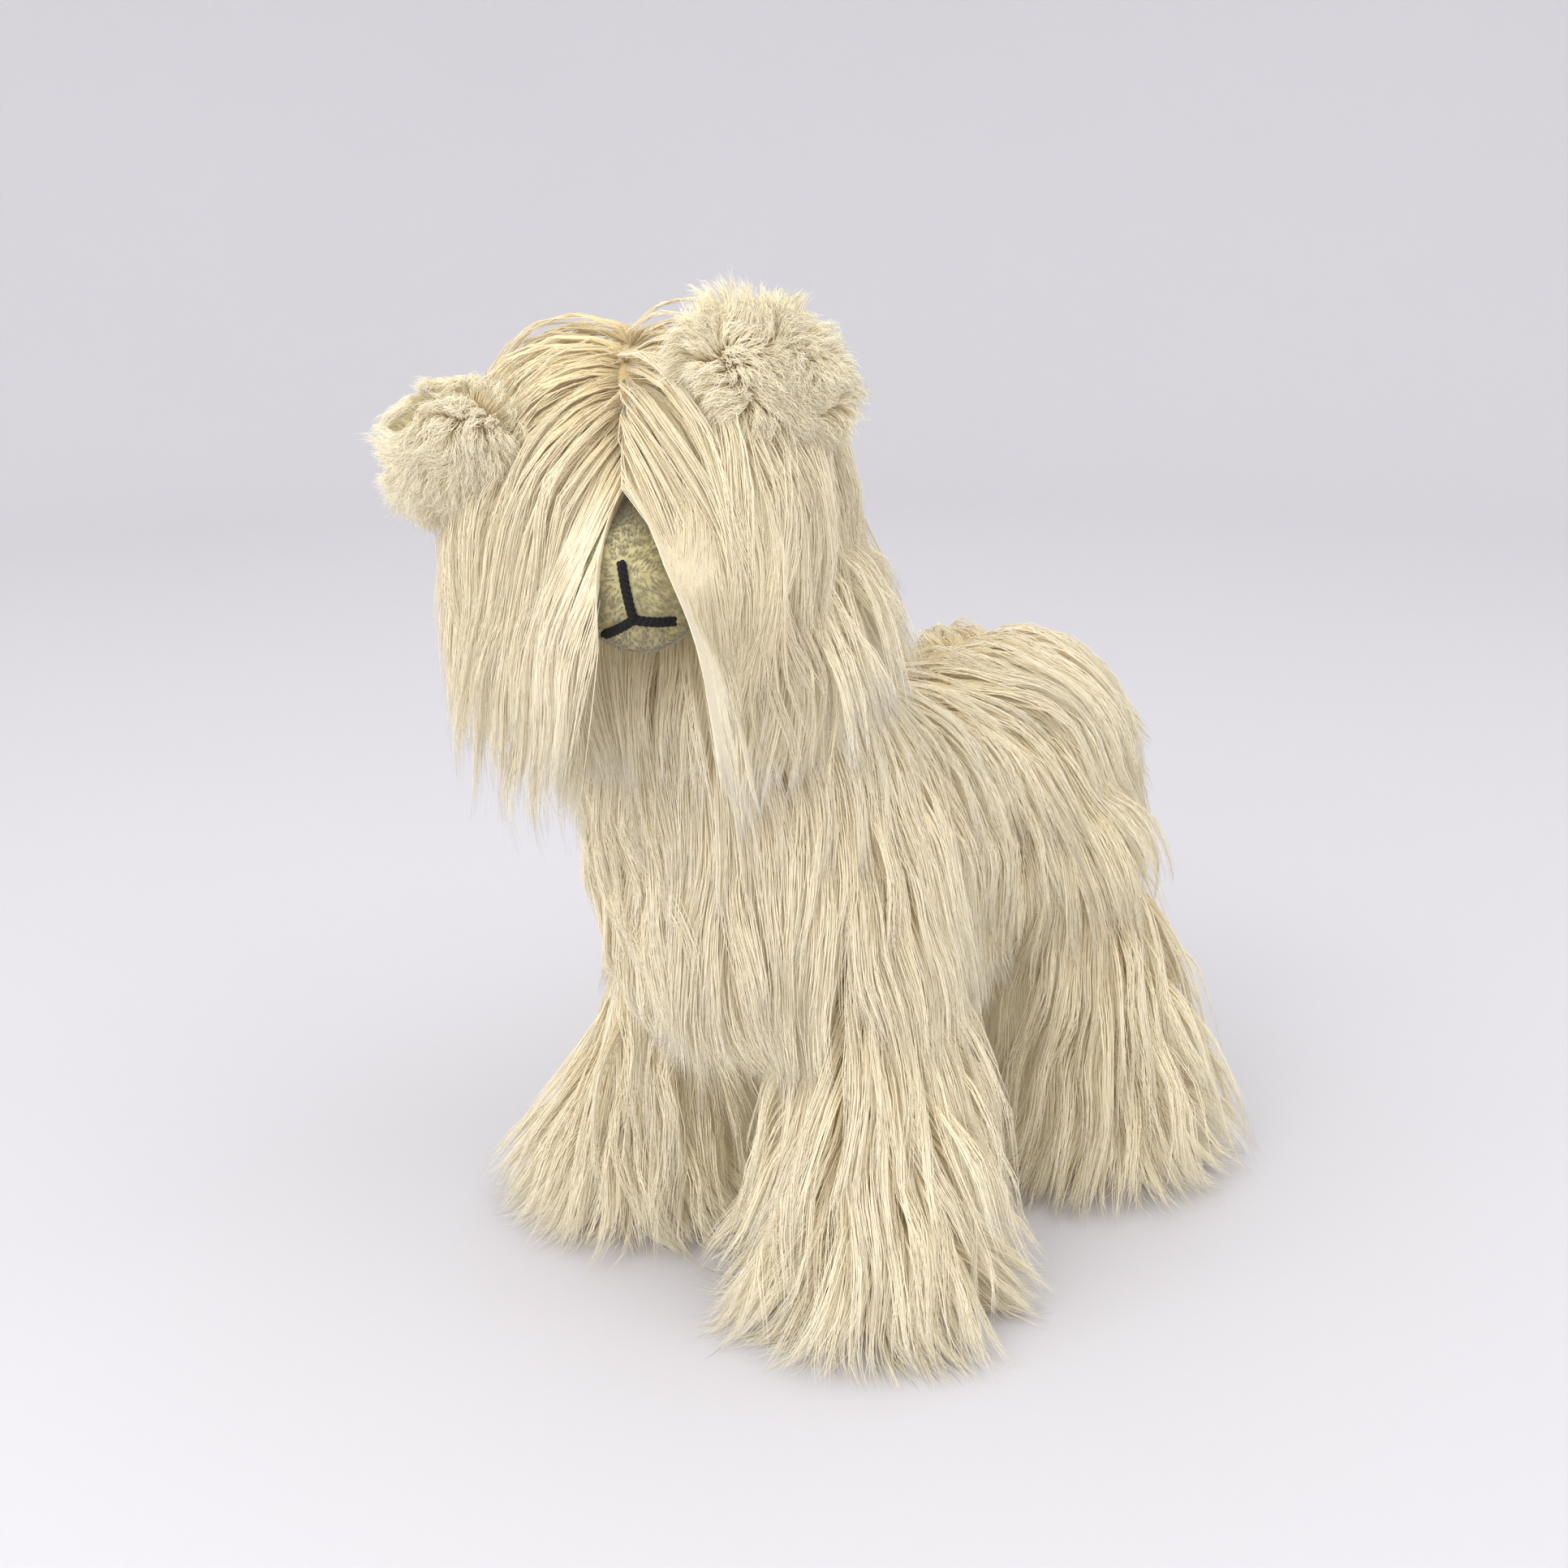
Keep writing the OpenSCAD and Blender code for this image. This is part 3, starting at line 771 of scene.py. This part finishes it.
def torso_comb(t, root, normal, side):
    """Down and away from the parting along the back, and backwards behind the chest."""
    top = np.clip(normal[:, 2], 0, 1)
    back = np.where(root[:, 1] > CHEST[1] + 20, 0.28 + 0.3 * top, -0.02)
    aside = side * (0.12 + 0.75 * top) * (1 - 0.6 * t)
    return unit(np.stack([aside, back * (1 - 0.5 * t), -np.ones(len(root))], axis=1))


for word, side in SIDES.items():
    coat("side_panel_%s_pile" % word, "torso", "coat", "side_panel_" + word, CREAM, torso_field, TORSO_PRIMS,
         lambda p, n: on_side(p, side), 15000,
         lambda p, t, root, normal: torso_comb(t, root, normal, side), torso_length, 9.5, 100 + side,
         floor=50.0, segs=6, wander=0.3, wave=26, thick=0.145, avoid=torso_and_legs, press=0.6, lean=0.55,
         profile=torso_profile)
coat("belly_gusset_pile", "torso", "belly", "belly_gusset", CREAM, torso_field, TORSO_PRIMS,
     lambda p, n: on_torso(p) & (in_gusset(p) < 0), 1200,
     lambda p, t, root, normal: np.tile(DOWN, (len(p), 1)), 22.0, 8.0, 120, floor=50.0, segs=5)

FOOT_HEIGHTS = [0, 12, 35, 55, 75, 95]
FOOT_FULLNESS = [1.45, 1.28, 1.0, 0.85, 0.5, 0.2]
# each leg's outer side at the foot and above the knee
OUTER_FULLNESS = {"leg_front_left": (1.25, 1.5), "leg_front_right": (1.0, 0.25),
                  "leg_rear_left": (1.25, 1.3), "leg_rear_right": (1.0, 1.0)}


def leg_profile(p, lower, upper):
    """How far the hair of a leg stands out at each height. The outer sides of the legs differ a little."""
    return np.interp(p[:, 2], FOOT_HEIGHTS, FOOT_FULLNESS) * np.interp(p[:, 2], [12, 50], [lower, upper])


def leg_comb(p, foot):
    """Straight down, then outwards over the foot."""
    out = unit((p - foot) * [1, 1, 0])
    low = np.clip((44 - p[:, 2]) / 44, 0, 1)[:, None]
    return unit(DOWN + out * (0.04 + 1.35 * low ** 1.5))


def leg_length(root, extra):
    return np.clip(root[:, 2] + 15, 29, 62) + extra


for i, leg in enumerate(LEGS):
    top, foot = leg_top(leg), leg_foot(leg)
    prims = [(top, HIP_R), (top, foot, HIP_R, FOOT_R), (foot, FOOT_R)]
    for half, s in (("outer", 1), ("inner", -1)):
        out_side = s * (1 if foot[0] > 0 else -1)
        fullness = OUTER_FULLNESS[leg] if s > 0 else (1.0, 1.0)
        extra = 5.0 if foot[0] > 0 else 0.0
        coat("%s_%s_pile" % (leg, half), leg, "coat", "%s_%s" % (leg, half), CREAM,
             lambda p: leg_field(p, leg), prims,
             lambda p, n: (out_side * leg_middle(p, leg) > 0) & (p[:, 2] > 3), 4200,
             lambda p, t, root, normal: leg_comb(p, foot), lambda root: leg_length(root, extra), 19.0,
             200 + 10 * i + s, floor=0.5, segs=6, profile=lambda p: leg_profile(p, *fullness), gather=0.6,
             wander=0.24, wave=26, lean=0.5, press=0.3, thick=0.15)

coat("tail_pile", "tail", "coat", "tail_plush", CREAM, tail_field,
     [(TAIL, TAIL_R), (TAIL, TAIL_TIP, TAIL_R, TAIL_TIP_R), (TAIL_TIP, TAIL_TIP_R)],
     lambda p, n: p[:, 2] > 0, 2400,
     lambda p, t, root, normal: unit(TAIL_DIR * 0.6 + DOWN * 0.6 + normal * 0.35), 24.0, 4.0, 300, segs=6,
     lean=0.6)

# ---- the head's hair ----


def head_avoid(p):
    return np.minimum(head_field(p), torso_field(p) - 7)


PARTING_X, OPENING_X = 3.5, 2.0     # the parting lies a little to the left of the head's middle


def opening(q):
    """Half the width of the gap in the fringe where the muzzle looks out, at a point in the head's frame."""
    return 1.8 * np.sqrt(np.clip(5 - q[..., 2], 0, 36)) * np.clip((-22 - q[..., 1]) / 8, 0, 1)


def over_muzzle(path, side):
    """Hangs the fringe in front of the muzzle, and draws it aside from the opening."""
    q = to_head(path.reshape(-1, 3)).reshape(path.shape)
    m = to_head(MUZZLE[None])[0]
    across = np.hypot(q[..., 0] - m[0], q[..., 2] - m[2])
    brow = -HEAD_R
    tent = brow + (m[1] - MUZZLE_R - 2.5 - brow) / (1 + (across / 15) ** 4)
    need = np.where((across < 30) & (q[..., 1] < -8), np.clip(q[..., 1] - tent, 0, None), 0)
    need *= np.clip((8 - q[..., 2]) / 12, 0, 1)
    need *= np.clip(np.arange(need.shape[1]) / 3, 0, 1)
    for k in range(1, need.shape[1]):
        need[:, k] = np.maximum(need[:, k], 0.94 * need[:, k - 1])
    for k in range(need.shape[1] - 2, -1, -1):
        need[:, k] = np.maximum(need[:, k], need[:, k + 1] * (k / (k + 1)) ** 0.8)
    q[..., 1] -= need
    q[..., 0] += side * np.clip(opening(q) - side * (q[..., 0] - OPENING_X), 0, None)
    return from_head(q.reshape(-1, 3)).reshape(path.shape)


def on_head(p):
    return (above_swivel(p) > 1) & (muzzle_field(p) > 0.5)


def is_fringe(p):
    q = to_head(p)
    return (q[:, 1] < 14) & (q[:, 2] > -14)


def fringe_length(root):
    return 70 + 16 * crown(root)


def crown(root):
    """0 at the height of the head's middle, 1 at its top."""
    return np.clip(to_head(root)[:, 2] / HEAD_R, 0, 1)


def on_half(p, side):
    return on_head(p) & parted(to_head(p)[:, 0] - PARTING_X, p, side, 1.5, 2.6)


def head_comb(t, root, side, backwards):
    """Away from the parting, backwards behind the ears, and down."""
    u = unit(to_head(root))
    across = side * (0.10 + 1.0 * np.clip(u[:, 2], 0, 1)) * (1 - 0.9 * t)
    behind = backwards * np.clip(u[:, 1] + 0.1, -0.5, 1) * (1 - 0.5 * t)
    return unit(across[:, None] * HEAD_X + behind[:, None] * HEAD_Y + DOWN * (0.75 + 0.4 * t))


# the depth of the fringe at the sides and what the crown adds, the hair behind the ears, and its comb
HEAD_HAIR = {"left": {"depth": 10.0, "top": 4, "rear_length": 60.0, "rear_depth": 18.0, "backwards": 0.75},
             "right": {"depth": 7.0, "top": 10, "rear_length": 48.0, "rear_depth": 9.0, "backwards": 0.55}}

for word, side in SIDES.items():
    hair = HEAD_HAIR[word]

    def comb(p, t, root, normal):
        return head_comb(t, root, side, hair["backwards"])

    coat("fringe_%s_pile" % word, "head", "fringe", "fringe_" + word, FRINGE, head_field, [(HEAD, HEAD_R)],
         lambda p, n: on_half(p, side) & is_fringe(p), 9500, comb, fringe_length,
         lambda root: hair["depth"] + hair["top"] * crown(root), 400 + side, floor=120.0, thick=0.145,
         avoid=head_avoid, segs=9, press=0.6, lean=0.7, shape=lambda path: over_muzzle(path, side),
         gather=0.78, tuft_gather=0.7, wander=0.24, wave=28, lock_every=64)
    coat("head_panel_%s_pile" % word, "head", "coat", "head_panel_" + word, CREAM, head_field,
         [(HEAD, HEAD_R)], lambda p, n: on_half(p, side) & ~is_fringe(p), 5000, comb, hair["rear_length"],
         hair["rear_depth"], 440 + side, floor=100.0, segs=6, avoid=head_avoid, press=0.5, lean=0.6)

# ---- ears ----


def turn_x(a):
    c, s = math.cos(math.radians(a)), math.sin(math.radians(a))
    return np.array([[1, 0, 0], [0, c, -s], [0, s, c]])


def turn_y(a):
    c, s = math.cos(math.radians(a)), math.sin(math.radians(a))
    return np.array([[c, 0, s], [0, 1, 0], [-s, 0, c]])


def turn_z(a):
    c, s = math.cos(math.radians(a)), math.sin(math.radians(a))
    return np.array([[c, -s, 0], [s, c, 0], [0, 0, 1]])


# each ear is a bowed, oval flap; these turn it about its seam, in degrees
EAR_FRONT, EAR_UP, EAR_PITCH = 36, 18, 37
EAR_RAISED = {"left": 55, "right": 18}
EAR_DROOP = {"left": 0.6, "right": 0.75}
EAR_SCALE = {"left": 0.9, "right": 0.85}
FLAP_OUT, FLAP_LONG, FLAP_T = 6.0, 9.5, 2.2
FLAP_WIDE = {"left": 16.0, "right": 15.0}
FLAP_FORWARD = {"left": 3.0, "right": 0.0}      # how far the flap's middle is in front of its seam's middle
BOW, BOW_DOWN = 3.0, 1.5
EAR_HALVES = (("back", 1, "coat", LIGHTENED_EAR_HAIR, 7000, 15.0, 4.0),
              ("lining", -1, "ear_lining", LIGHTENED_LINING_HAIR, 6000, 11.5, 3.0))

for word, side in SIDES.items():
    seam = EARS[word]
    ear_axes = HEAD_AXES @ np.diag([side, 1, 1]) @ turn_z(-EAR_FRONT) @ turn_y(-EAR_UP) @ turn_x(-EAR_PITCH) \
        @ turn_y(-EAR_RAISED[word])
    wide = FLAP_WIDE[word]
    middle = seam - FLAP_FORWARD[word] * ear_axes[:, 1]

    def to_ear(p):
        return (p - middle) @ ear_axes

    def flap(p):
        """How far out from the flap's middle a point is, 1 at the rim, and its height over the bowed flap."""
        q = to_ear(p)
        u, v = (q[:, 0] - FLAP_OUT) / FLAP_LONG, q[:, 1] / wide
        return np.hypot(u, v), q[:, 2] - BOW * (u ** 2 + v ** 2) + BOW_DOWN

    def ear_field(p):
        share, height = flap(p)
        flat = (share - 1) * FLAP_LONG + FLAP_T
        return np.hypot(np.clip(flat, 0, None), height) - FLAP_T

    def ear_skin(p, face):
        return np.maximum(ear_field(p), -0.6 - face * flap(p)[1])

    def ear_roots(n, seed, face):
        r = np.random.default_rng(seed)
        a, rr = r.uniform(0, 2 * math.pi, n), np.sqrt(r.uniform(0, 1.25, n))
        q = np.stack([FLAP_OUT + FLAP_LONG * rr * np.cos(a), wide * rr * np.sin(a),
                      face * 2.0 + BOW * rr ** 2 - BOW_DOWN], axis=1)
        p = middle + q @ ear_axes.T
        for _ in range(3):
            p = p - slope(ear_field, p) * ear_field(p)[:, None]
        return p, slope(ear_field, p)

    def rimward(root):
        q = to_ear(root)
        return unit((q - [FLAP_OUT, 0, 0]) * [1, 1, 0]) @ ear_axes.T

    def rim_share(root):
        return np.clip(flap(root)[0], 0, 1.1)

    def rim_length(root, longest):
        return longest * (0.7 + 0.3 * rim_share(root) ** 3)

    def ear_comb(p, t, root, normal):
        """Toward the ear's tip and its rim, then down."""
        edge = rim_share(root)[:, None] ** 2
        return unit(ear_axes[:, 0] * 0.4 + rimward(root) * (0.8 * edge * (1 - 0.5 * t))
                    + normal * (0.45 - 0.3 * t) + DOWN * (0.12 + EAR_DROOP[word] * t))

    for half, face, slot_name, mat, count, longest, deep in EAR_HALVES:
        node = "ear_%s_%s" % (word, half)
        ob = skin(node + "_cloth", lambda p: ear_skin(p, face), middle - 28, middle + 28, FINE_GRID)
        piece(ob, "ear_" + word, slot_name, node, fill=0.5)
        coat(node + "_pile", "ear_" + word, slot_name, node, mat, ear_field, None, None, count, ear_comb,
             lambda root: rim_length(root, longest * EAR_SCALE[word]), deep, 500 + 20 * side + face,
             floor=60.0, segs=5, lean=0.3, wander=0.6, wave=13,
             roots=lambda n, seed: ear_roots(n, seed, face), curl=0.5, fuzz=1.1, gather=0.35,
             tuft_gather=0.4, lock_every=60, thick=0.12)

# ---- muzzle ----

STITCH_LOW, MOUTH_TURN = 8, 115
YARN_LIFT, YARN_TWIST, PLY_R = 0.7, 0.5, 0.58       # three plies twisted round each line
MUZZLE_AXES = HEAD_AXES @ turn_x(90 + MUZZLE_DROOP)


def stitch_line(turn, sweep, lift):
    """A line over the muzzle's round tip, from the point where the three lines meet."""
    a = np.radians(np.linspace(0, sweep, 60))
    b = math.radians(turn)
    v = np.stack([-math.sin(b) * np.sin(a), math.cos(b) * np.sin(a), np.cos(a)], axis=1)
    return MUZZLE + (MUZZLE_R + lift) * (v @ (MUZZLE_AXES @ turn_x(STITCH_LOW)).T)


STITCHES = {"nose_stitch": (0, 50), "mouth_stitch_left": (-MOUTH_TURN, 36),
            "mouth_stitch_right": (MOUTH_TURN, 36)}


def tube(path, radius):
    """A closed tube along a path, drawn in at both ends."""
    sides = 8
    n = len(path)
    tan = unit(np.gradient(path, axis=0))
    s1 = unit(np.cross(tan, path - MUZZLE))
    s2 = np.cross(tan, s1)
    ang = 2 * math.pi * np.arange(sides) / sides
    ends = np.sin(np.pi * np.clip(np.linspace(0.02, 0.98, n) * 12, 0, 0.5))
    rad = radius * ends * ends[::-1]
    around = np.cos(ang)[None, :, None] * s1[:, None] + np.sin(ang)[None, :, None] * s2[:, None]
    ring = path[:, None] + rad[:, None, None] * around
    faces = ring_faces(n, sides)
    faces += [tuple(range(sides))[::-1], tuple(range((n - 1) * sides, n * sides))]
    return ring.reshape(-1, 3), faces


for node, (turn, sweep) in STITCHES.items():
    line = stitch_line(turn, sweep, YARN_LIFT)
    out = unit(line - MUZZLE)
    across = unit(np.cross(np.gradient(line, axis=0), out))
    verts, faces = [], []
    for ply in range(3):
        a = 2 * math.pi * (ply / 3 + np.linspace(0, sweep / 14, len(line)))
        v, f = tube(line + YARN_TWIST * (np.cos(a)[:, None] * across + np.sin(a)[:, None] * out), PLY_R)
        before = sum(len(x) for x in verts)
        faces += [tuple(i + before for i in face) for face in f]
        verts.append(v)
    ob = mesh_object(node + "_yarn", np.concatenate(verts), faces, THREAD)
    piece(ob, "head", "thread", node)


LINES = np.concatenate([stitch_line(*v, 0) for v in STITCHES.values()])


def off_lines(p):
    """True away from the embroidered lines: the nap is left out under them."""
    return np.array([np.min(np.linalg.norm(LINES - q, axis=1)) for q in p]) > 1.5


coat("muzzle_nap", "head", "muzzle", "muzzle_cover", NAP, muzzle_field,
     [(MUZZLE, MUZZLE_R), (MUZZLE, MUZZLE - MUZZLE_LONG * MUZZLE_DIR, MUZZLE_R, MUZZLE_BACK_R)],
     lambda p, n: (head_field(p) > 0.5) & off_lines(p), 9000,
     lambda p, t, root, normal: unit(normal * 0.5 - MUZZLE_DIR * 0.6 + DOWN * 0.3), 1.4, 0.5, 600, segs=3,
     thick=0.1, lean=0.2, gather=0.05, tuft_gather=0.15, fuzz=0.15, wander=0.3, wave=8)

# ---- CAD nodes that stay ----

SLOT_MATERIALS = {"stuffing": FILL, "fibreboard": BOARD, "steel": STEEL, "thread": THREAD, "eye": EYE,
                  "eye_lock": LOCK, "sole": SOLE_CLOTH, "muzzle": MUZZLE_CLOTH}
NODE_SLOTS = {s["node"]: s["material_slot"] for s in frame["record"]["subparts"]}

for name, ob in frame["nodes"].items():
    ob.data.materials.clear()
    ob.data.materials.append(SLOT_MATERIALS.get(NODE_SLOTS[name], SHADED_BACKING))

# ---- stage, light and camera ----


def stage_material(name, col):
    m, nt, bsdf = material(name)
    n = noise(nt, 3.0)
    darker = tuple(0.985 * v for v in col[:3]) + (1,)
    c = ramp(nt, n.outputs["Fac"], [(0.3, darker), (0.7, col)])
    nt.links.new(c.outputs["Color"], bsdf.inputs["Base Color"])
    bsdf.inputs["Roughness"].default_value = 0.9
    bsdf.inputs["Specular IOR Level"].default_value = 0.1
    return m


# the camera's direction round the toy and above it, and its distance
AZ, EL, AWAY = math.radians(40.5), math.radians(18.9), 595.0
BACK = np.array([math.sin(AZ) * math.cos(EL), -math.cos(AZ) * math.cos(EL), math.sin(EL)])
TARGET = np.array([STANCE[0] - 28.4, STANCE[1] - 5, 110.2])

# a round studio: a level floor that curves up into a low wall on every side
FLOOR_R, CURVE_R, WALL_TOP, SPOKES = 950.0, 600.0, 1000.0, 96
profile = [(1, 0), (FLOOR_R, 0)]
for a in np.linspace(0.1, math.pi / 2, 16):
    profile.append((FLOOR_R + CURVE_R * math.sin(a), CURVE_R - CURVE_R * math.cos(a)))
profile.append((FLOOR_R + CURVE_R, WALL_TOP))
angles = 2 * math.pi * np.arange(SPOKES) / SPOKES
verts = np.array([[d * math.cos(a), d * math.sin(a), z] for d, z in profile for a in angles])
faces = ring_faces(len(profile), SPOKES) + [tuple(range(SPOKES))[::-1]]
sweep = mesh_object("floor_sweep", verts, faces, stage_material("paper_sweep", srgb(208, 206, 210)))


def softbox(name, place_at, aim, size, power):
    li = bpy.data.lights.new(name, "AREA")
    li.shape, li.size, li.energy = "SQUARE", size, power
    ob = bpy.data.objects.new(name, li)
    ob.location = Vector(place_at / 1000)
    ob.rotation_euler = (Vector(aim / 1000) - ob.location).to_track_quat("-Z", "Y").to_euler()
    bpy.context.scene.collection.objects.link(ob)


mid = np.array([0, 0, 120.0])
toward = unit(BACK * [1, 1, 0])
across = np.array([-toward[1], toward[0], 0])
softbox("key", mid + toward * 500 + across * 650 + np.array([0, 0, 900]), mid, 0.9, 4)
softbox("fill", mid + toward * 720 - across * 560 + np.array([0, 0, 420]), mid, 1.0, 7)
softbox("top", mid - toward * 250 + np.array([0, 0, 1200]), mid, 1.4, 1)

world = bpy.data.worlds.new("studio")
world.use_nodes = True
world.node_tree.nodes["Background"].inputs[0].default_value = (0.98, 0.985, 0.99, 1)
world.node_tree.nodes["Background"].inputs[1].default_value = 1.15
bpy.context.scene.world = world

cam = bpy.data.cameras.new("camera")
cam.sensor_width, cam.lens = 36.0, 49.9
cam.clip_start, cam.clip_end = 0.01, 20
cam_ob = bpy.data.objects.new("camera", cam)
cam_ob.location = Vector((TARGET + BACK * AWAY) / 1000)
cam_ob.rotation_mode = "QUATERNION"
cam_ob.rotation_quaternion = Vector(-BACK).to_track_quat("-Z", "Y")
bpy.context.scene.collection.objects.link(cam_ob)
bpy.context.scene.camera = cam_ob
bpy.context.scene.view_settings.view_transform = "Standard"
